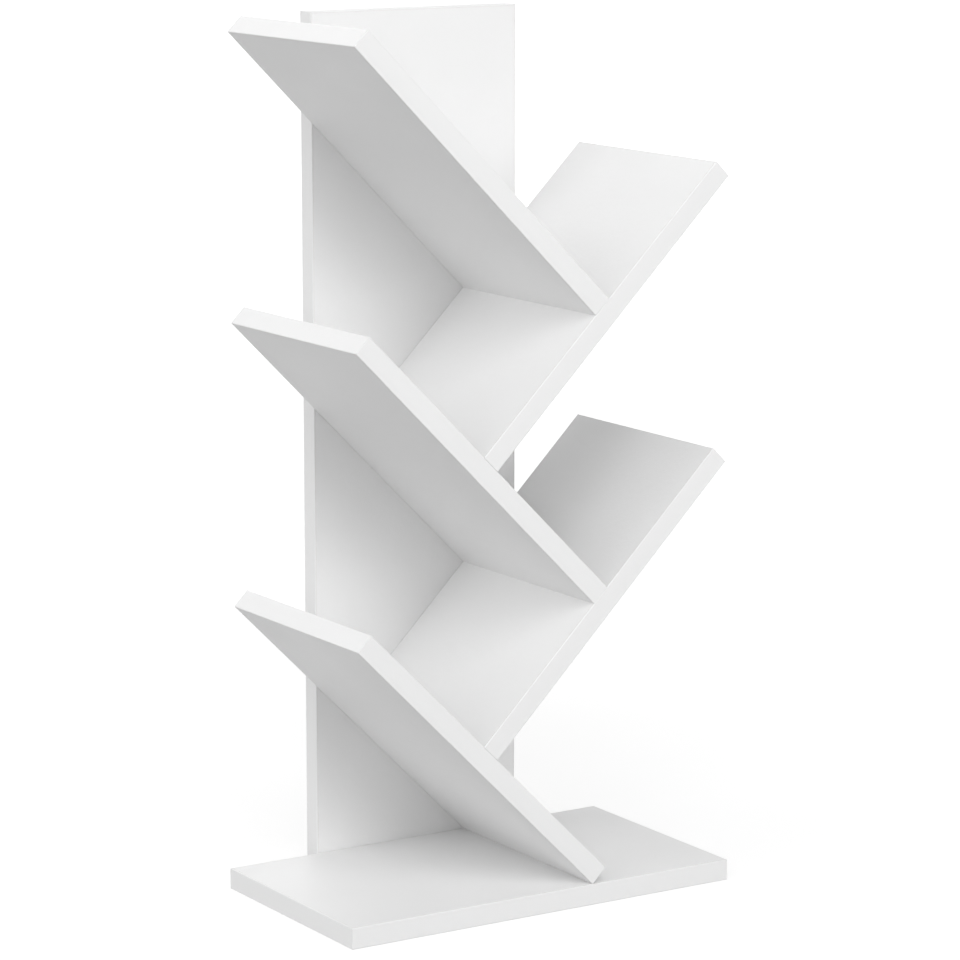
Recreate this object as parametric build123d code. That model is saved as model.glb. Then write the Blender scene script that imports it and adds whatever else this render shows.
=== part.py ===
from build123d import *
import os
from math import cos, pi, sin, sqrt

# A tree shaped bookshelf that stands on a table or a low cabinet. A flat base and an upright spine
# board carry five equal shelves. Each shelf leans at 45 degrees and stands square on the face of the
# one below it, to the right and to the left in turn, so that the shelves make a zigzag of V shaped
# compartments. All the boards are faced particle board with a band glued on every edge that shows.
#
# Millimetres. The origin is on the floor at the middle of the footprint, +X is right, +Y is back.

# Boards
BOARD = 15.0  # thickness of every board
BAND = 1.0  # thickness of the edge bands
BAND_EASE = 0.4  # scraped off the outer edges of a band
DEPTH = 170.0  # front to back, base and shelves
BASE_WIDTH = 310.0
SPINE_WIDTH = 168.0
SPINE_HEIGHT = 615.0
SHELF_LENGTH = 267.0
PITCH = 200.0  # height from a shelf to the next one that leans the same way
LEFT_SHELVES = ("bottom_left", "middle_left", "top_left")  # their upper end is on the left
RIGHT_SHELVES = ("lower_right", "upper_right")  # half a pitch above the left ones

# Dowels in the joints between shelves
DOWEL_RADIUS = 4.0
DOWEL_IN_END = 20.0  # length in the end of the shelf that stands on the joint
DOWEL_IN_FACE = 10.0  # length in the face of the shelf below
DOWEL_INSET = 35.0  # from the front and from the back edge of a shelf
FLUTES = 6
FLUTE_DEPTH = 0.5
GLUE_ROOM = 1.0  # past each end of a dowel

# Connector screws through the spine
SCREW_LENGTH = 50.0
SCREW_RADIUS = 2.5
HEAD_RADIUS = 4.0
HEAD_HEIGHT = 1.5
SOCKET_ACROSS_FLATS = 3.0
SOCKET_DEPTH = 2.2
SCREWS_FROM_FOOT = (35.0, 150.0)  # along a shelf, from its lower end
BASE_SCREW_X = 60.0  # either side of the middle

# Worked out from the dimensions above
SLOPE = sqrt(0.5)  # sine and cosine of 45 degrees
FRONT = -(DEPTH + BOARD) / 2
SPINE_FRONT = FRONT + DEPTH
BACK = SPINE_FRONT + BOARD
FOOT_X = PITCH / 4 - BOARD * SLOPE  # underside corner of a left shelf, on the face of a right one
SHELF_RUN = SHELF_LENGTH * SLOPE
DOWEL_LENGTH = DOWEL_IN_END + DOWEL_IN_FACE
ON_TOP = (Align.CENTER, Align.CENTER, Align.MIN)


def edge_band(run):
    """A band along +X, glued on the plane y = 0, with its eased outer side at y = -BAND."""
    section = Plane.YZ * Pos(-BAND / 2, BOARD / 2) * Rectangle(BAND, BOARD)
    outer_corners = section.vertices().group_by(Axis.Y)[0]
    return extrude(chamfer(outer_corners, BAND_EASE), run)


def banded_board(name, edges, length, width, place):
    """A core and its bands. Before it is placed, the board lies on the XY plane with a corner at the
    origin, and edges names its edges at the lowest y, the highest y, the lowest x and the highest x.
    An edge whose name is None stays raw, because it stands on another board."""
    front, back, near, far = edges
    core_start = BAND if near else 0
    core_end = length - BAND if far else length
    core_width = width - 2 * BAND
    core = extrude(Rectangle(core_end - core_start, core_width, align=Align.MIN), BOARD)
    bands = {
        front: Pos(0, BAND) * edge_band(length),
        back: Pos(length, width - BAND) * Rot(Z=180) * edge_band(length),
        near: Pos(BAND, width - BAND) * Rot(Z=-90) * edge_band(core_width),
        far: Pos(length - BAND, BAND) * Rot(Z=90) * edge_band(core_width),
    }
    pieces = {f"{name}_board": place * Pos(core_start, BAND) * core}
    pieces |= {f"{name}_{edge}_band": place * band for edge, band in bands.items() if edge}
    return pieces


def left_shelf_place(level):
    """Local +X runs down to the right from the upper end, and local +Z is the upper face."""
    height = BOARD + level * PITCH + SHELF_RUN
    return Location((FOOT_X - SHELF_RUN, FRONT, height), (0, 45, 0))


def right_shelf_place(level):
    """Local +X runs up to the right from the lower end, and local +Z is the upper face."""
    return Location((-FOOT_X, FRONT, BOARD + (level + 0.5) * PITCH), (0, -45, 0))


def spine_place():
    """Local +X runs up from the floor, local +Y to the right and local +Z to the back."""
    corner = (-SPINE_WIDTH / 2, SPINE_FRONT, 0)
    return Plane(origin=corner, x_dir=(0, 0, 1), z_dir=(0, 1, 0)).location


def boards():
    base_place = Location((-BASE_WIDTH / 2, FRONT, 0))
    made = banded_board("base", ("front", "back", "left", "right"), BASE_WIDTH, DEPTH, base_place)
    sides = ("left", "right", "foot", "top")
    made |= banded_board("spine", sides, SPINE_HEIGHT, SPINE_WIDTH, spine_place())
    for level, name in enumerate(LEFT_SHELVES):
        foot = None if level else "lower_end"  # only the lowest shelf shows its lower end
        edges = ("front", "back", "upper_end", foot)
        made |= banded_board(f"{name}_shelf", edges, SHELF_LENGTH, DEPTH, left_shelf_place(level))
    for level, name in enumerate(RIGHT_SHELVES):
        edges = ("front", "back", None, "upper_end")
        made |= banded_board(f"{name}_shelf", edges, SHELF_LENGTH, DEPTH, right_shelf_place(level))
    return made


def dowel_places():
    """The lower end of every shelf but the lowest stands on a face. +Z runs down through the joint."""
    places = []
    for y in (DOWEL_INSET, DEPTH - DOWEL_INSET):
        left_foot = Location((SHELF_LENGTH - DOWEL_IN_END, y, BOARD / 2), (0, 90, 0))
        right_foot = Location((DOWEL_IN_END, y, BOARD / 2), (0, -90, 0))
        for level in range(len(RIGHT_SHELVES)):
            places.append(right_shelf_place(level) * right_foot)
            places.append(left_shelf_place(level + 1) * left_foot)
    return places


def fluted_section():
    """The section of a dowel, its crests at the dowel's radius and its flutes cut in from there."""
    corners = []
    for step in range(2 * FLUTES):
        reach = DOWEL_RADIUS - FLUTE_DEPTH * (step % 2)
        angle = pi * step / FLUTES
        corners.append((reach * cos(angle), reach * sin(angle)))
    return make_face(Polyline(corners, close=True))


def dowel():
    """A fluted beech dowel, from the origin along +Z."""
    return extrude(fluted_section(), DOWEL_LENGTH)


def dowel_hole():
    return Pos(Z=-GLUE_ROOM) * Cylinder(DOWEL_RADIUS, DOWEL_LENGTH + 2 * GLUE_ROOM, align=ON_TOP)


def screw_places():
    """On the back of the spine, two screws to each shelf and to the base. +Z points backwards."""
    points = [(-BASE_SCREW_X, BOARD / 2), (BASE_SCREW_X, BOARD / 2)]
    for up in SCREWS_FROM_FOOT:
        across = FOOT_X + (BOARD / 2 - up) * SLOPE
        height = BOARD + (BOARD / 2 + up) * SLOPE
        points += [(across, height + level * PITCH) for level in range(len(LEFT_SHELVES))]
        points += [(-across, height + (level + 0.5) * PITCH) for level in range(len(RIGHT_SHELVES))]
    return [Location((x, BACK, z), (-90, 0, 0)) for x, z in points]


def screw_blank():
    """The screw without its socket, turned about Z, its flat head on the plane z = 0."""
    outline = Polyline(
        (0, 0),
        (HEAD_RADIUS, 0),
        (SCREW_RADIUS, -HEAD_HEIGHT),
        (SCREW_RADIUS, -SCREW_LENGTH),
        (0, -SCREW_LENGTH),
        close=True,
    )
    return revolve(Plane.XZ * make_face(outline), Axis.Z)


def screw():
    """A connector screw with a countersunk head and a hexagon socket."""
    hexagon = RegularPolygon(SOCKET_ACROSS_FLATS / 2, 6, major_radius=False)
    return screw_blank() - Pos(Z=-SOCKET_DEPTH) * extrude(hexagon, SOCKET_DEPTH)


def boxes_meet(one, other):
    """True if two bounding boxes overlap along all three axes."""
    starts = all(low < high for low, high in zip(one.min, other.max))
    ends = all(low < high for low, high in zip(other.min, one.max))
    return starts and ends


def drilled(piece, drills):
    """The piece less every drill whose box meets its box."""
    box = piece.bounding_box()
    for drill in drills:
        if boxes_meet(box, drill.bounding_box()):
            piece -= drill
    return piece


def write(name, shape):
    export_step(shape, f"parts/{name}.step")


os.makedirs("parts", exist_ok=True)
drills = [place * dowel_hole() for place in dowel_places()]
drills += [place * screw_blank() for place in screw_places()]
for name, piece in boards().items():
    write(name, drilled(piece, drills))
write("shelf_dowels", Compound([place * dowel() for place in dowel_places()]))
write("spine_screws", Compound([place * screw() for place in screw_places()]))
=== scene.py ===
from math import pi, radians, sqrt

import bpy
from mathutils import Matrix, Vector


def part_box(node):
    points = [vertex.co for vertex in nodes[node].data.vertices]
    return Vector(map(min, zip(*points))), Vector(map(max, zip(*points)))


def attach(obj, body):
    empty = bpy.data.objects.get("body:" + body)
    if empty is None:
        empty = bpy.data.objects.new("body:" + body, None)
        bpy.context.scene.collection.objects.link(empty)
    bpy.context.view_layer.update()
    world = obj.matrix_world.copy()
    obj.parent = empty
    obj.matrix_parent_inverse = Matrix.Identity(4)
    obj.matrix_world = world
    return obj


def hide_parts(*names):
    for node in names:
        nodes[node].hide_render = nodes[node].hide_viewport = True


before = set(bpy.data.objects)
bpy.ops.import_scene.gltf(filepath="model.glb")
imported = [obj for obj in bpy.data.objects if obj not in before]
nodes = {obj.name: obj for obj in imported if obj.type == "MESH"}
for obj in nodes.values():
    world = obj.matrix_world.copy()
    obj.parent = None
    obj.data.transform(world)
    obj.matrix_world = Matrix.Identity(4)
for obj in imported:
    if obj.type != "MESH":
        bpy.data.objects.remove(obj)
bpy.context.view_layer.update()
scene = bpy.context.scene
scene.view_settings.view_transform = "Standard"
print(f"frame: {len(nodes)} nodes")


# Helpers for every node tree below

def feed(tree, socket, value):
    # a socket is linked, anything else is set
    if isinstance(value, bpy.types.NodeSocket):
        tree.links.new(value, socket)
    else:
        socket.default_value = value


def addNode(tree, kind, settings=None, inputs=None):
    node = tree.nodes.new(kind)
    for name, value in (settings or {}).items():
        setattr(node, name, value)
    for name, value in (inputs or {}).items():
        feed(tree, node.inputs[name], value)
    return node


def calc(tree, operation, *values):
    node = addNode(tree, "ShaderNodeMath", {"operation": operation}, dict(enumerate(values)))
    return node.outputs[0]


def vectorCalc(tree, operation, *values):
    node = addNode(tree, "ShaderNodeVectorMath", {"operation": operation}, dict(enumerate(values)))
    return node.outputs["Value" if operation in ("DOT_PRODUCT", "LENGTH") else "Vector"]


def combined(tree, x=0.0, y=0.0, z=0.0):
    return addNode(tree, "ShaderNodeCombineXYZ", inputs={0: x, 1: y, 2: z}).outputs[0]


def separated(tree, vector):
    return addNode(tree, "ShaderNodeSeparateXYZ", inputs={0: vector}).outputs


def remap(tree, value, low, high, newLow, newHigh):
    # low..high becomes newLow..newHigh, and both ends are held
    ends = {"From Min": low, "From Max": high, "To Min": newLow, "To Max": newHigh}
    return addNode(tree, "ShaderNodeMapRange", inputs={"Value": value} | ends).outputs["Result"]


def blendColours(tree, share, first, second):
    # 6, 7 and 2 are the node's sockets for colours
    node = addNode(tree, "ShaderNodeMix", {"data_type": "RGBA"}, {0: share, 6: first, 7: second})
    return node.outputs[2]


def blendValues(tree, share, first, second):
    return addNode(tree, "ShaderNodeMix", inputs={0: share, 2: first, 3: second}).outputs[0]


def tinted(tree, colour, tone):
    return vectorCalc(tree, "MULTIPLY", colour, combined(tree, tone, tone, tone))


def noise(tree, place, scale, detail=2.0, roughness=0.5):
    numbers = {"Vector": place, "Scale": scale, "Detail": detail, "Roughness": roughness}
    return addNode(tree, "ShaderNodeTexNoise", inputs=numbers).outputs["Fac"]


def objectPlace(tree):
    return addNode(tree, "ShaderNodeTexCoord").outputs["Object"]


def ownPlace(tree):
    # where a point lies on the single screw or dowel, before it is repeated
    return addNode(tree, "ShaderNodeAttribute", {"attribute_name": "own"}).outputs["Vector"]


def addSocket(tree, label, way, kind):
    return tree.interface.new_socket(label, in_out=way, socket_type=f"NodeSocket{kind}")


def newGroup(name, treeKind, inputs, outputs):
    tree = bpy.data.node_groups.new(name, treeKind)
    for label, (kind, value) in inputs.items():
        socket = addSocket(tree, label, "INPUT", kind)
        if value is not None:
            socket.default_value = value
    for label, kind in outputs.items():
        addSocket(tree, label, "OUTPUT", kind)
    given = tree.nodes.new("NodeGroupInput").outputs
    made = tree.nodes.new("NodeGroupOutput").inputs
    return tree, given, made


def useGroup(tree, group, inputs):
    return addNode(tree, "ShaderNodeGroup", {"node_tree": group}, inputs).outputs


# Camera

camera = {
    "place": (-1.402, -2.223, 0.780),
    "heading": 32.33,  # degrees from +Y towards +X
    "pitch": -10.54,
    "lens": 143.5,  # millimetres
    "sensor": 36,
    "clip": (0.05, 200),
}


def addCamera(c):
    data = bpy.data.cameras.new("camera")
    data.sensor_width = c["sensor"]
    data.lens = c["lens"]
    data.clip_start, data.clip_end = c["clip"]
    eye = bpy.data.objects.new("camera", data)
    eye.location = c["place"]
    eye.rotation_euler = (radians(90 + c["pitch"]), 0, radians(-c["heading"]))
    scene.collection.objects.link(eye)
    scene.camera = eye


addCamera(camera)
print("camera: ready")


# Studio: a soft white dome, large lamps and a pale floor

dome = {
    "white": (1, 1, 1, 1),
    "light": 0.44,
    "leftLight": 1.15,  # more from the left, fading round to the front and the back
    "leftFade": 2.0,  # the higher, the narrower
    "shown": 1.0,  # behind the object, and in its gloss
}

floorSettings = {
    "side": 80.0,  # metres
    "colour": (0.45, 0.45, 0.45, 1),
    "glow": (0.62, 0.85),  # for the eye alone: the open floor goes to white and the shadow stays
    "reach": (0.5, 4.0),  # metres, the glow grows from the first to the second distance
}

lamps = {  # place, side in metres, watts
    "keyLamp": ((-2.26, -3.92, 4.83), 3.2, 132.0),
    "leftLamp": ((-4.53, 0.0, 4.83), 3.2, 30.0),
    "frontLamp": ((2.16, -5.92, 1.41), 3.2, 142.0),
    "rearLamp": ((1.43, 5.35, 3.50), 3.2, 54.0),
}
lampTarget = (0, 0, 0.30)


def seenRays(tree):
    # 1 where a ray from the camera arrives straight, in a gloss or through glass
    path = addNode(tree, "ShaderNodeLightPath").outputs
    straight = calc(tree, "MAXIMUM", path["Is Camera Ray"], path["Is Glossy Ray"])
    return calc(tree, "MAXIMUM", straight, path["Is Transmission Ray"])


def background(tree, colour, strength):
    numbers = {"Color": colour, "Strength": strength}
    return addNode(tree, "ShaderNodeBackground", inputs=numbers).outputs[0]


def addDome(d):
    world = bpy.data.worlds.new("dome")
    scene.world = world
    world.use_nodes = True
    tree = world.node_tree
    tree.nodes.clear()
    direction = addNode(tree, "ShaderNodeTexCoord").outputs["Generated"]
    leftward = vectorCalc(tree, "DOT_PRODUCT", direction, (-1, 0, 0))
    faded = calc(tree, "POWER", calc(tree, "MAXIMUM", leftward, 0.0), d["leftFade"])
    strength = calc(tree, "MULTIPLY_ADD", faded, d["leftLight"], d["light"])
    light = background(tree, d["white"], strength)
    shown = background(tree, d["white"], d["shown"])
    mixed = addNode(tree, "ShaderNodeMixShader", inputs={0: seenRays(tree), 1: light, 2: shown})
    addNode(tree, "ShaderNodeOutputWorld", inputs={"Surface": mixed.outputs[0]})


def addFloor(f):
    half = f["side"] / 2
    corners = [(-half, -half, 0), (half, -half, 0), (half, half, 0), (-half, half, 0)]
    mesh = bpy.data.meshes.new("floor")
    mesh.from_pydata(corners, [], [(0, 1, 2, 3)])
    floor = bpy.data.objects.new("floor", mesh)
    scene.collection.objects.link(floor)
    paint = bpy.data.materials.new("floorPaint")
    paint.use_nodes = True
    tree = paint.node_tree
    tree.nodes.clear()
    matt = addNode(tree, "ShaderNodeBsdfDiffuse", inputs={"Color": f["colour"]})
    away = vectorCalc(tree, "LENGTH", objectPlace(tree))
    strength = calc(tree, "MULTIPLY", seenRays(tree), remap(tree, away, *f["reach"], *f["glow"]))
    glow = addNode(tree, "ShaderNodeEmission", inputs={"Strength": strength})
    both = addNode(tree, "ShaderNodeAddShader", inputs={0: matt.outputs[0], 1: glow.outputs[0]})
    addNode(tree, "ShaderNodeOutputMaterial", inputs={"Surface": both.outputs[0]})
    mesh.materials.append(paint)


def addLamp(name, place, side, watts):
    data = bpy.data.lights.new(name, "AREA")
    data.shape = "SQUARE"
    data.size = side
    data.energy = watts
    lamp = bpy.data.objects.new(name, data)
    lamp.location = place
    lamp.visible_camera = False
    aim = Vector(lampTarget) - Vector(place)
    lamp.rotation_euler = aim.to_track_quat("-Z", "Y").to_euler()
    scene.collection.objects.link(lamp)


addDome(dome)
addFloor(floorSettings)
for name, settings in lamps.items():
    addLamp(name, *settings)
print("studio: dome, floor and lamps")


# Shader groups that several finishes share

boardShape = {  # cosines between a side's normal and the board's own axes
    "face": 0.9,  # from here on it is a broad face
    "eased": (0.93, 0.995),  # from an eased corner to a flat side
}


def laidFlat(tree, vector, tilt):
    numbers = {"Vector": vector, "Angle": tilt}
    return addNode(tree, "ShaderNodeVectorRotate", {"rotation_type": "Y_AXIS"}, numbers).outputs[0]


def makeBoardSides(b):
    # tells the broad faces, the cut sides and the eased corners of a leaning board apart
    inputs = {"Tilt": ("Float", 0.0), "Face Axis": ("Vector", (0, 0, 1))}
    outputs = {"Face": "Float", "Eased": "Float", "Place": "Vector"}
    tree, given, made = newGroup("boardSides", "ShaderNodeTree", inputs, outputs)
    normal = addNode(tree, "ShaderNodeNewGeometry").outputs["True Normal"]
    facing = vectorCalc(tree, "ABSOLUTE", laidFlat(tree, normal, given["Tilt"]))
    alongFace = vectorCalc(tree, "DOT_PRODUCT", facing, given["Face Axis"])
    feed(tree, made["Face"], calc(tree, "GREATER_THAN", alongFace, b["face"]))
    parts = separated(tree, facing)
    squarest = calc(tree, "MAXIMUM", calc(tree, "MAXIMUM", parts[0], parts[1]), parts[2])
    feed(tree, made["Eased"], remap(tree, squarest, *b["eased"], 1.0, 0.0))
    feed(tree, made["Place"], laidFlat(tree, objectPlace(tree), given["Tilt"]))
    return tree


pearls = {
    "grain": 1250.0,  # pearls to the metre
    "grainHeight": 0.8,
    "peel": 0.16,  # broader waves under the pearls, against the grain
    "peelHeight": 0.9,
    "clouds": 14.0,
    "cloudEdges": (0.25, 0.75),
    "tones": (0.988, 1.0),
}


def makePearlSkin(p):
    # the fine pearl embossing of laminate and edge band, with faint clouds of tone
    inputs = {
        "Place": ("Vector", None),
        "Grain": ("Float", p["grain"]),
        "Clouds": ("Float", p["clouds"]),
    }
    outputs = {"Tone": "Float", "Relief": "Float"}
    tree, given, made = newGroup("pearlSkin", "ShaderNodeTree", inputs, outputs)
    grain = noise(tree, given["Place"], given["Grain"], detail=1.5, roughness=0.45)
    peelScale = calc(tree, "MULTIPLY", given["Grain"], p["peel"])
    peel = noise(tree, given["Place"], peelScale, detail=1.0)
    waves = calc(tree, "MULTIPLY", peel, p["peelHeight"])
    feed(tree, made["Relief"], calc(tree, "MULTIPLY_ADD", grain, p["grainHeight"], waves))
    clouds = noise(tree, given["Place"], given["Clouds"], detail=4.0, roughness=0.55)
    feed(tree, made["Tone"], remap(tree, clouds, *p["cloudEdges"], *p["tones"]))
    return tree


handling = {
    "size": 0.05,  # metres, of a smudge
    "smudgeEdges": (0.40, 0.68),  # of the noise, where a smudge begins and where it is full
    "wipeEdges": (0.50, 0.70),
    "wipeFineness": 9.0,  # against the smudges
    "wipeStretch": (1.0, 0.08, 1.0),
}


def makeHandled(h):
    # where hands and cloths have been: broad smudges and long faint wipes, for the gloss alone
    inputs = {"Place": ("Vector", None), "Size": ("Float", h["size"])}
    outputs = {"Smudge": "Float", "Wipe": "Float"}
    tree, given, made = newGroup("handled", "ShaderNodeTree", inputs, outputs)
    scale = calc(tree, "DIVIDE", 1.0, given["Size"])
    smudge = noise(tree, given["Place"], scale, detail=3.0, roughness=0.6)
    feed(tree, made["Smudge"], remap(tree, smudge, *h["smudgeEdges"], 0.0, 1.0))
    stretched = vectorCalc(tree, "MULTIPLY", given["Place"], h["wipeStretch"])
    wipeScale = calc(tree, "MULTIPLY", scale, h["wipeFineness"])
    wipe = noise(tree, stretched, wipeScale, detail=3.0, roughness=0.6)
    feed(tree, made["Wipe"], remap(tree, wipe, *h["wipeEdges"], 0.0, 1.0))
    return tree


particles = {
    "size": 0.0016,  # metres
    "flatness": 3.0,  # how much longer than thick
    "dark": (0.22, 0.12, 0.055, 1),
    "middle": (0.42, 0.27, 0.14, 1),
    "middleAt": 0.35,
    "pale": (0.62, 0.43, 0.25, 1),
    "fibres": 3.0,  # to a particle
    "fibreEdges": (0.3, 0.7),
    "fibreTones": (0.75, 1.0),
    "roughness": 0.85,
    "relief": 8.0,  # against the laminate's
}


def makeChips(p):
    # pressed wood particles, lying flat in the board, for the sides that no band covers
    inputs = {
        "Place": ("Vector", None),
        "Flatness": ("Vector", (1, 1, p["flatness"])),
        "Size": ("Float", p["size"]),
    }
    outputs = {"Colour": "Color", "Relief": "Float"}
    tree, given, made = newGroup("pressedChips", "ShaderNodeTree", inputs, outputs)
    flat = vectorCalc(tree, "MULTIPLY", given["Place"], given["Flatness"])
    scale = calc(tree, "DIVIDE", 1.0, given["Size"])
    cells = addNode(tree, "ShaderNodeTexVoronoi", inputs={"Vector": flat, "Scale": scale}).outputs
    pick = separated(tree, cells["Color"])[0]
    ramp = addNode(tree, "ShaderNodeValToRGB", inputs={0: pick})
    tones = ramp.color_ramp.elements
    tones[0].color, tones[1].color = p["dark"], p["pale"]
    tones.new(p["middleAt"]).color = p["middle"]
    fibreScale = calc(tree, "MULTIPLY", scale, p["fibres"])
    fibre = noise(tree, flat, fibreScale, detail=3.0, roughness=0.6)
    shade = remap(tree, fibre, *p["fibreEdges"], *p["fibreTones"])
    feed(tree, made["Colour"], tinted(tree, ramp.outputs[0], shade))
    feed(tree, made["Relief"], calc(tree, "SUBTRACT", fibre, cells["Distance"]))
    return tree


boardSides = makeBoardSides(boardShape)
pearlSkin = makePearlSkin(pearls)
handled = makeHandled(handling)
pressedChips = makeChips(particles)
print("shader groups: board sides, pearl skin, handling and chips")


# Finishes of the boards

laminate = {
    "colour": (0.82, 0.82, 0.82),
    "roughness": 0.46,
    "specular": 0.35,
    "relief": 0.0001,  # metres
    "glueLine": (0.70, 0.69, 0.67, 1),
    "glueShare": 0.7,
    "smudge": 0.07,  # change of roughness
    "wipe": -0.6,  # against a smudge
}

edgeBand = {
    "colour": (0.825, 0.825, 0.825),
    "roughness": 0.42,
    "specular": 0.35,
    "relief": 0.00007,
    "grain": 1500.0,
    "smudge": 0.05,
    "smudgeSize": 0.03,
    "scraped": 0.30,  # roughness where the scraper has passed
    "scrapedTone": -0.02,
}

boards = {
    "coreCorner": 0.00008,  # metres, the hairline where a band meets the face
    "bandCorner": 0.00012,
    "cornerSteps": 2,
    "cornerAngle": 30,  # degrees, the least turn that is eased
    "merge": 0.000002,  # metres, points this close are one corner
}

families = {  # tilt that lays the board flat, and the axis its faces then look along
    "base": (0, (0, 0, 1)),
    "spine": (0, (0, 1, 0)),
    "leftShelf": (-45, (0, 0, 1)),
    "rightShelf": (45, (0, 0, 1)),
}


def startMaterial(name):
    material = bpy.data.materials.new(name)
    material.use_nodes = True
    tree = material.node_tree
    tree.nodes.clear()
    surface = tree.nodes.new("ShaderNodeBsdfPrincipled")
    addNode(tree, "ShaderNodeOutputMaterial", inputs={"Surface": surface.outputs[0]})
    return material, tree, surface.inputs


def addRelief(tree, surface, height, distance):
    bump = addNode(tree, "ShaderNodeBump", inputs={"Height": height, "Distance": distance})
    feed(tree, surface["Normal"], bump.outputs[0])


def laminateMaterial(name, tilt, faceAxis):
    material, tree, surface = startMaterial(name)
    sides = useGroup(tree, boardSides, {"Tilt": radians(tilt), "Face Axis": faceAxis})
    place, face = sides["Place"], sides["Face"]
    skin = useGroup(tree, pearlSkin, {"Place": place})
    touched = useGroup(tree, handled, {"Place": place})
    flatness = tuple(particles["flatness"] if part else 1.0 for part in faceAxis)
    chips = useGroup(tree, pressedChips, {"Place": place, "Flatness": flatness})
    white = tinted(tree, laminate["colour"], skin["Tone"])
    colour = blendColours(tree, face, chips["Colour"], white)
    glued = calc(tree, "MULTIPLY", sides["Eased"], laminate["glueShare"])
    feed(tree, surface["Base Color"], blendColours(tree, glued, colour, laminate["glueLine"]))
    marks = calc(tree, "MULTIPLY_ADD", touched["Wipe"], laminate["wipe"], touched["Smudge"])
    satin = calc(tree, "MULTIPLY_ADD", marks, laminate["smudge"], laminate["roughness"])
    feed(tree, surface["Roughness"], blendValues(tree, face, particles["roughness"], satin))
    surface["Specular IOR Level"].default_value = laminate["specular"]
    coarse = calc(tree, "MULTIPLY", chips["Relief"], particles["relief"])
    height = blendValues(tree, face, coarse, skin["Relief"])
    addRelief(tree, surface, height, laminate["relief"])
    return material


def edgeBandMaterial(name, tilt):
    material, tree, surface = startMaterial(name)
    sides = useGroup(tree, boardSides, {"Tilt": radians(tilt)})
    place, scraped = sides["Place"], sides["Eased"]
    skin = useGroup(tree, pearlSkin, {"Place": place, "Grain": edgeBand["grain"]})
    touched = useGroup(tree, handled, {"Place": place, "Size": edgeBand["smudgeSize"]})
    tone = calc(tree, "MULTIPLY_ADD", scraped, edgeBand["scrapedTone"], skin["Tone"])
    feed(tree, surface["Base Color"], tinted(tree, edgeBand["colour"], tone))
    smudge = calc(tree, "MULTIPLY", touched["Smudge"], edgeBand["smudge"])
    satin = calc(tree, "ADD", smudge, edgeBand["roughness"])
    feed(tree, surface["Roughness"], blendValues(tree, scraped, satin, edgeBand["scraped"]))
    surface["Specular IOR Level"].default_value = edgeBand["specular"]
    addRelief(tree, surface, skin["Relief"], edgeBand["relief"])
    return material


def familyOf(name):
    for family in ("base", "spine"):
        if name.startswith(family):
            return family
    return "leftShelf" if "left_shelf" in name else "rightShelf"


def makePlainFaces():
    # each face is shaded by itself, so that the bevels leave the broad faces truly flat
    socket = {"Mesh": ("Geometry", None)}
    tree, given, made = newGroup("plainFaces", "GeometryNodeTree", socket, {"Mesh": "Geometry"})
    inputs = {"Mesh": given["Mesh"], "Remove Custom": True, "Face Sharpness": True}
    plain = addNode(tree, "GeometryNodeSetMeshNormal", {"mode": "SHARPNESS"}, inputs)
    feed(tree, made["Mesh"], plain.outputs[0])
    return tree


def soften(node, width, shading):
    # the node's loose triangles are joined first, so that the bevel finds their corners
    loose = node.modifiers.new("joined", "WELD")
    loose.merge_threshold = boards["merge"]
    eased = node.modifiers.new("eased", "BEVEL")
    eased.width = width
    eased.segments = boards["cornerSteps"]
    eased.limit_method = "ANGLE"
    eased.angle_limit = radians(boards["cornerAngle"])
    node.modifiers.new("shaded", "NODES").node_group = shading


plainFaces = makePlainFaces()
finishes = {}
for family, (tilt, axis) in families.items():
    finishes[family, "board"] = laminateMaterial(f"whiteLaminate-{family}", tilt, axis)
    finishes[family, "band"] = edgeBandMaterial(f"edgeBand-{family}", tilt)
for name, node in nodes.items():
    if name in ("shelf_dowels", "spine_screws"):
        continue
    kind = name.rsplit("_", 1)[1]
    node.data.materials.clear()
    node.data.materials.append(finishes[familyOf(name), kind])
    soften(node, boards["coreCorner" if kind == "board" else "bandCorner"], plainFaces)
print("boards: laminate, edge bands and eased corners")


# Screws and dowels stand at points, each made once by a node tree and repeated

shelving = {  # metres, as the boards are laid out
    "thickness": 0.015,
    "depth": 0.170,
    "pitch": 0.200,  # from a shelf to the next one that leans the same way
    "leftShelves": 3,
    "rightShelves": 2,
}
thickness, pitch = shelving["thickness"], shelving["pitch"]
slope = sqrt(0.5)
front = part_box("base_front_band")[0].y
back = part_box("spine_board")[1].y
footX = pitch / 4 - thickness * slope  # from the middle to the lowest edge of each shelf
crispAngle = 35  # degrees, edges that turn more stay sharp in the shading


def hostOfPoints(name, points, axes):
    mesh = bpy.data.meshes.new(name)
    mesh.from_pydata(points, [], [])
    stored = mesh.attributes.new("axis", "FLOAT_VECTOR", "POINT")
    for item, axis in zip(stored.data, axes):
        item.vector = axis
    host = bpy.data.objects.new(name, mesh)
    scene.collection.objects.link(host)
    return host


def grow(host, tree, sizes):
    # gives the tree its sizes before the host is evaluated for the first time
    growth = host.modifiers.new("growth", "NODES")
    growth.node_group = tree
    for item in tree.interface.items_tree:
        if item.in_out == "INPUT" and item.name in sizes:
            growth[item.identifier] = sizes[item.name]


def bake(host, name, node):
    settled = host.evaluated_get(bpy.context.evaluated_depsgraph_get())
    piece = bpy.data.objects.new(name, bpy.data.meshes.new_from_object(settled))
    scene.collection.objects.link(piece)
    bpy.data.objects.remove(host)
    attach(piece, "root")
    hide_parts(node)
    print(f"{name}: {len(piece.data.polygons)} faces")


def sizeSockets(sizes):
    kinds = {int: "Int", float: "Float"}
    sockets = {label: (kinds[type(value)], value) for label, value in sizes.items()}
    return {"Places": ("Geometry", None)} | sockets


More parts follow.
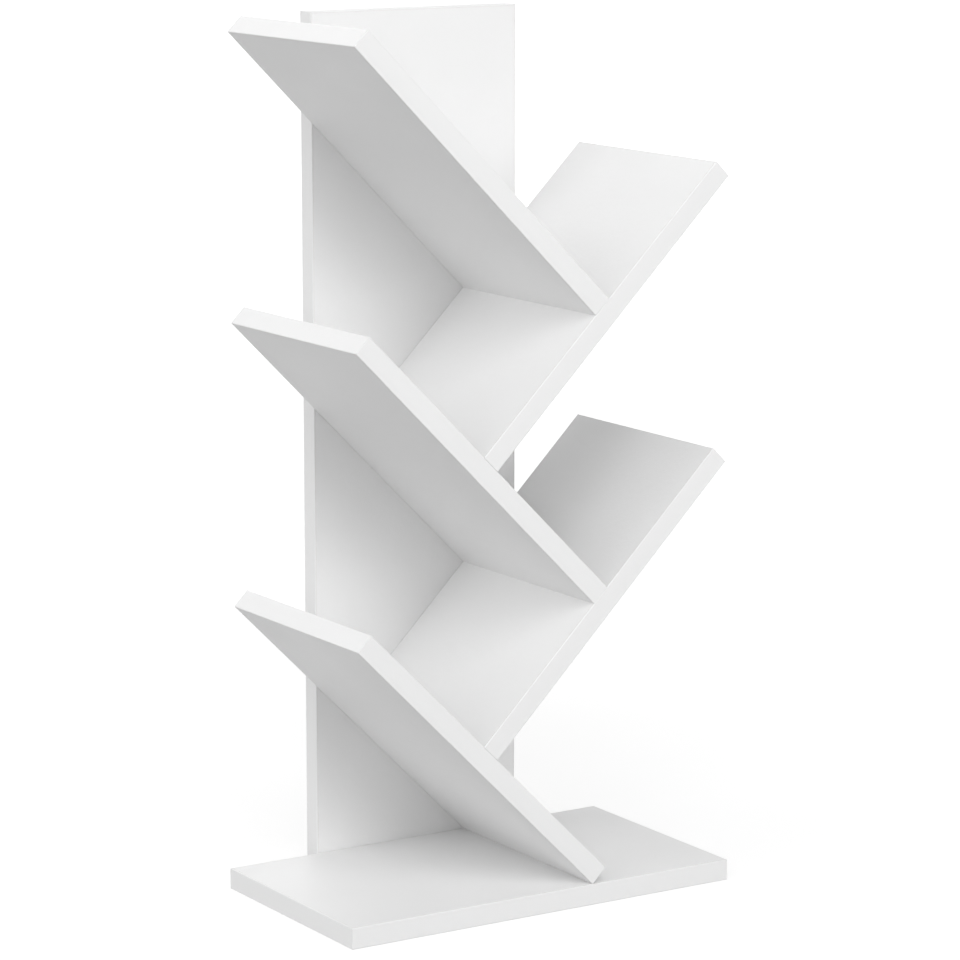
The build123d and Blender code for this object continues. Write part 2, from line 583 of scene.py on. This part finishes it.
def negative(tree, value):
    return calc(tree, "MULTIPLY", value, -1.0)


def double(tree, value):
    return calc(tree, "MULTIPLY", value, 2.0)


def moved(tree, mesh, z):
    inputs = {"Geometry": mesh, "Translation": combined(tree, z=z)}
    return addNode(tree, "GeometryNodeTransform", inputs=inputs).outputs[0]


def cone(tree, sides, lower, upper, depth, z):
    numbers = {"Vertices": sides, "Radius Bottom": lower, "Radius Top": upper, "Depth": depth}
    return moved(tree, addNode(tree, "GeometryNodeMeshCone", inputs=numbers).outputs["Mesh"], z)


def circle(tree, sides, radius):
    numbers = {"Resolution": sides, "Radius": radius}
    node = addNode(tree, "GeometryNodeCurvePrimitiveCircle", {"mode": "RADIUS"}, numbers)
    return node.outputs["Curve"]


def swept(tree, curve, profile, **inputs):
    inputs = {"Curve": curve, "Profile Curve": profile, "Fill Caps": True} | inputs
    return addNode(tree, "GeometryNodeCurveToMesh", inputs=inputs).outputs[0]


def boolean(tree, operation, body, *others):
    node = addNode(tree, "GeometryNodeMeshBoolean", {"operation": operation, "solver": "EXACT"})
    if operation == "DIFFERENCE":
        tree.links.new(body, node.inputs["Mesh 1"])
    else:
        others = (body, *others)
    for other in others:
        tree.links.new(other, node.inputs["Mesh 2"])
    return node.outputs["Mesh"]


def crisp(tree, mesh):
    # shades the mesh smooth, but for the edges that turn more than the angle
    turn = addNode(tree, "GeometryNodeInputMeshEdgeAngle").outputs["Unsigned Angle"]
    sharp = calc(tree, "GREATER_THAN", turn, radians(crispAngle))
    inputs = {"Mesh": mesh, "Remove Custom": True}
    inputs |= {"Edge Sharpness": sharp, "Face Sharpness": False}
    return addNode(tree, "GeometryNodeSetMeshNormal", {"mode": "SHARPNESS"}, inputs).outputs[0]


def repeated(tree, given, made, single, material):
    # stands the single piece on every point along its axis, turned by chance, as plain mesh
    vectors = {"data_type": "FLOAT_VECTOR"}
    place = addNode(tree, "GeometryNodeInputPosition").outputs[0]
    settings = vectors | {"domain": "POINT"}
    inputs = {"Geometry": single, "Name": "own", "Value": place}
    own = addNode(tree, "GeometryNodeStoreNamedAttribute", settings, inputs).outputs[0]
    axis = addNode(tree, "GeometryNodeInputNamedAttribute", vectors, {"Name": "axis"}).outputs[0]
    aim = addNode(tree, "FunctionNodeAlignRotationToVector", {"axis": "Z"}, {"Vector": axis})
    inputs = {"Points": given["Places"], "Instance": own, "Rotation": aim.outputs[0]}
    stood = addNode(tree, "GeometryNodeInstanceOnPoints", inputs=inputs).outputs[0]
    inputs = {2: 0.0, 3: 2 * pi, "Seed": given["Seed"]}  # from no turn to a whole one
    chance = addNode(tree, "FunctionNodeRandomValue", {"data_type": "FLOAT"}, inputs).outputs[1]
    inputs = {"Instances": stood, "Rotation": combined(tree, z=chance), "Local Space": True}
    turned = addNode(tree, "GeometryNodeRotateInstances", inputs=inputs).outputs[0]
    real = addNode(tree, "GeometryNodeRealizeInstances", inputs={0: turned}).outputs[0]
    inputs = {"Geometry": real, "Material": material}
    feed(tree, made[0], addNode(tree, "GeometryNodeSetMaterial", inputs=inputs).outputs[0])
    return tree


screws = {
    "Head Radius": 0.004,
    "Head Height": 0.0015,
    "Neck Radius": 0.00245,
    "Neck Length": 0.014,
    "Core Radius": 0.0018,
    "Thread Radius": 0.0025,
    "Thread Pitch": 0.0024,
    "Thread Steps": 20,  # to a turn
    "Thread Sides": 4,
    "Tip Length": 0.006,
    "Tip Radius": 0.0003,
    "Length": 0.050,
    "Socket Radius": 0.00173,
    "Socket Depth": 0.0022,
    "Socket Mouth": 0.0003,
    "Socket Sides": 6,
    "Sides": 48,
    "Seed": 7,
}
screwOverlaps = {  # how far the screw's parts reach into each other before they are one
    "headFoot": 0.98,  # share of the neck's radius
    "neckInHead": 0.5,  # share of the head's height
    "coreInNeck": 0.001,  # metres
}
screwsFromFoot = (0.035, 0.150)  # along each shelf
baseScrewX = 0.060

zinc = {
    "cool": (0.40, 0.42, 0.44, 1),
    "warm": (0.47, 0.47, 0.45, 1),
    "patches": 800.0,  # to the metre
    "patchEdges": (0.35, 0.65),
    "roughness": 0.27,
    "smudge": 0.16,
    "smudgeSize": 0.004,
    "turning": 0.00014,  # from one tool mark on the head to the next
    "turningHeight": 0.3,  # against the patches
    "relief": 0.00001,
}


def thread(tree, given, turns, height, z):
    # a sharp edged coil round the core, from its lower end up
    core = given["Core Radius"]
    inputs = {"Resolution": given["Thread Steps"], "Rotations": turns, "Height": height}
    inputs |= {"Start Radius": core, "End Radius": core}
    coil = addNode(tree, "GeometryNodeCurveSpiral", inputs=inputs).outputs[0]
    upright = addNode(tree, "GeometryNodeSetCurveNormal", {"mode": "Z_UP"}, {"Curve": coil})
    crest = calc(tree, "SUBTRACT", given["Thread Radius"], core)
    section = circle(tree, given["Thread Sides"], crest)
    return moved(tree, swept(tree, upright.outputs[0], section), z)


def makeScrewTree(material):
    sockets, output = sizeSockets(screws), {"Screws": "Geometry"}
    tree, given, made = newGroup("countersunkScrews", "GeometryNodeTree", sockets, output)
    sides, core, tipLength = given["Sides"], given["Core Radius"], given["Tip Length"]
    headHeight, neck, neckLength = given["Head Height"], given["Neck Radius"], given["Neck Length"]
    socket, deep, mouth = given["Socket Radius"], given["Socket Depth"], given["Socket Mouth"]
    socketSides = given["Socket Sides"]
    neckEnd = negative(tree, neckLength)
    tipEnd = negative(tree, given["Length"])
    tipTop = calc(tree, "ADD", tipEnd, tipLength)
    coreLength = calc(tree, "SUBTRACT", neckEnd, tipTop)
    turns = calc(tree, "DIVIDE", coreLength, given["Thread Pitch"])

    headFoot = calc(tree, "MULTIPLY", neck, screwOverlaps["headFoot"])
    headBase = negative(tree, headHeight)
    head = cone(tree, sides, headFoot, given["Head Radius"], headHeight, headBase)
    lessHead = -screwOverlaps["neckInHead"]
    shankLength = calc(tree, "MULTIPLY_ADD", headHeight, lessHead, neckLength)
    shank = cone(tree, sides, neck, neck, shankLength, neckEnd)
    shaftLength = calc(tree, "ADD", coreLength, screwOverlaps["coreInNeck"])
    shaft = cone(tree, sides, core, core, shaftLength, tipTop)
    tip = cone(tree, sides, given["Tip Radius"], core, tipLength, tipEnd)
    coil = thread(tree, given, turns, coreLength, tipTop)
    whole = boolean(tree, "UNION", head, shank, shaft, tip, coil)

    # the cutters of the socket stand half out of the head
    hexagon = cone(tree, socketSides, socket, socket, double(tree, deep), negative(tree, deep))
    wide = calc(tree, "MULTIPLY_ADD", mouth, 2.0, socket)
    flare = cone(tree, socketSides, socket, wide, double(tree, mouth), negative(tree, mouth))
    single = crisp(tree, boolean(tree, "DIFFERENCE", whole, hexagon, flare))
    return repeated(tree, given, made, single, material)


def zincMaterial(z):
    material, tree, surface = startMaterial("zincPlate")
    place = objectPlace(tree)
    patches = noise(tree, place, z["patches"], detail=3.0, roughness=0.6)
    share = remap(tree, patches, *z["patchEdges"], 0.0, 1.0)
    feed(tree, surface["Base Color"], blendColours(tree, share, z["cool"], z["warm"]))
    surface["Metallic"].default_value = 1.0
    touched = useGroup(tree, handled, {"Place": place, "Size": z["smudgeSize"]})
    gloss = calc(tree, "MULTIPLY_ADD", touched["Smudge"], z["smudge"], z["roughness"])
    feed(tree, surface["Roughness"], gloss)
    across = vectorCalc(tree, "MULTIPLY", ownPlace(tree), (1, 1, 0))
    fromAxis = vectorCalc(tree, "LENGTH", across)
    rings = calc(tree, "SINE", calc(tree, "MULTIPLY", fromAxis, 2 * pi / z["turning"]))
    height = calc(tree, "MULTIPLY_ADD", rings, z["turningHeight"], patches)
    addRelief(tree, surface, height, z["relief"])
    return material


def screwPoints():
    points = [(side * baseScrewX, back, thickness / 2) for side in (-1, 1)]
    for up in screwsFromFoot:
        x = footX + (thickness / 2 - up) * slope
        z = thickness + (thickness / 2 + up) * slope
        for level in range(shelving["leftShelves"]):
            points.append((x, back, z + level * pitch))
        for level in range(shelving["rightShelves"]):
            points.append((-x, back, z + (level + 0.5) * pitch))
    return points


points = screwPoints()
host = hostOfPoints("screwHost", points, [(0, 1, 0)] * len(points))
grow(host, makeScrewTree(zincMaterial(zinc)), screws)
bake(host, "spineScrews", "spine_screws")


dowels = {
    "Radius": 0.004,
    "Length": 0.030,
    "Chamfer": 0.0008,
    "Flutes": 20,
    "Flute Depth": 0.0003,
    "Sides": 120,
    "Rings": 39,  # from end to end
    "Seed": 3,
}
dowelInEnd = 0.020  # in the end of a shelf, the rest goes into the face that it stands on
dowelInset = 0.035  # from the front and from the back of a shelf

beech = {
    "light": (0.78, 0.61, 0.42, 1),
    "dark": (0.64, 0.46, 0.28, 1),
    "grain": 900.0,  # to the metre
    "grainStretch": (1.0, 1.0, 0.05),
    "grainEdges": (0.35, 0.65),
    "fleck": (0.46, 0.29, 0.15, 1),
    "flecks": 3200.0,
    "fleckStretch": (1.0, 1.0, 0.2),
    "fleckEdges": (0.60, 0.70),
    "fleckShare": 0.8,
    "fleckHeight": -0.6,  # against the grain
    "roughEdges": (0.3, 0.7),
    "roughness": (0.52, 0.68),
    "relief": 0.00004,
}


def fluted(tree, given, ring):
    # presses flutes into a circle of radius 1
    place = addNode(tree, "GeometryNodeInputPosition").outputs[0]
    parts = separated(tree, place)
    angle = calc(tree, "ARCTAN2", parts[1], parts[0])
    wave = calc(tree, "COSINE", calc(tree, "MULTIPLY", angle, given["Flutes"]))
    depth = calc(tree, "DIVIDE", given["Flute Depth"], given["Radius"])
    half = calc(tree, "MULTIPLY", depth, 0.5)
    reach = calc(tree, "MULTIPLY_ADD", calc(tree, "SUBTRACT", wave, 1.0), half, 1.0)
    pressed = vectorCalc(tree, "MULTIPLY", place, combined(tree, reach, reach, 1.0))
    inputs = {"Geometry": ring, "Position": pressed}
    return addNode(tree, "GeometryNodeSetPosition", inputs=inputs).outputs[0]


def makeDowelTree(material):
    sockets, output = sizeSockets(dowels), {"Dowels": "Geometry"}
    tree, given, made = newGroup("flutedDowels", "GeometryNodeTree", sockets, output)
    length, radius, chamfer = given["Length"], given["Radius"], given["Chamfer"]
    ends = {"Start": (0, 0, 0), "End": combined(tree, z=length)}
    line = addNode(tree, "GeometryNodeCurvePrimitiveLine", {"mode": "POINTS"}, ends).outputs[0]
    inputs = {"Curve": line, "Count": given["Rings"]}
    axis = addNode(tree, "GeometryNodeResampleCurve", {"mode": "COUNT"}, inputs).outputs[0]
    along = addNode(tree, "GeometryNodeSplineParameter").outputs["Length"]
    toEnd = calc(tree, "MINIMUM", along, calc(tree, "SUBTRACT", length, along))
    narrow = calc(tree, "SUBTRACT", radius, chamfer)
    width = remap(tree, toEnd, 0.0, chamfer, narrow, radius)
    section = fluted(tree, given, circle(tree, given["Sides"], 1.0))
    single = crisp(tree, swept(tree, axis, section, Scale=width))
    return repeated(tree, given, made, single, material)


def beechMaterial(b):
    material, tree, surface = startMaterial("beech")
    own = ownPlace(tree)
    alongGrain = vectorCalc(tree, "MULTIPLY", own, b["grainStretch"])
    grain = noise(tree, alongGrain, b["grain"], detail=4.0, roughness=0.6)
    alongFlecks = vectorCalc(tree, "MULTIPLY", own, b["fleckStretch"])
    fleck = noise(tree, alongFlecks, b["flecks"], detail=1.0)
    dark = remap(tree, grain, *b["grainEdges"], 0.0, 1.0)
    wood = blendColours(tree, dark, b["light"], b["dark"])
    flecked = remap(tree, fleck, *b["fleckEdges"], 0.0, b["fleckShare"])
    feed(tree, surface["Base Color"], blendColours(tree, flecked, wood, b["fleck"]))
    feed(tree, surface["Roughness"], remap(tree, grain, *b["roughEdges"], *b["roughness"]))
    height = calc(tree, "MULTIPLY_ADD", fleck, b["fleckHeight"], grain)
    addRelief(tree, surface, height, b["relief"])
    return material


def dowelPlaces():
    points, axes = [], []
    for y in (front + dowelInset, front + shelving["depth"] - dowelInset):
        for level in range(shelving["rightShelves"]):
            # a right shelf on the left one below it, then the next left shelf on that right one
            for side, pitches in ((1, level + 0.5), (-1, level + 1)):
                foot = Vector((-side * footX, y, thickness + pitches * pitch))
                upShelf = Vector((side * slope, 0, slope))
                upThickness = Vector((-side * slope, 0, slope))
                points.append(foot + upShelf * dowelInEnd + upThickness * thickness / 2)
                axes.append(-upShelf)
    return points, axes


points, axes = dowelPlaces()
host = hostOfPoints("dowelHost", points, axes)
grow(host, makeDowelTree(beechMaterial(beech)), dowels)
bake(host, "shelfDowels", "shelf_dowels")
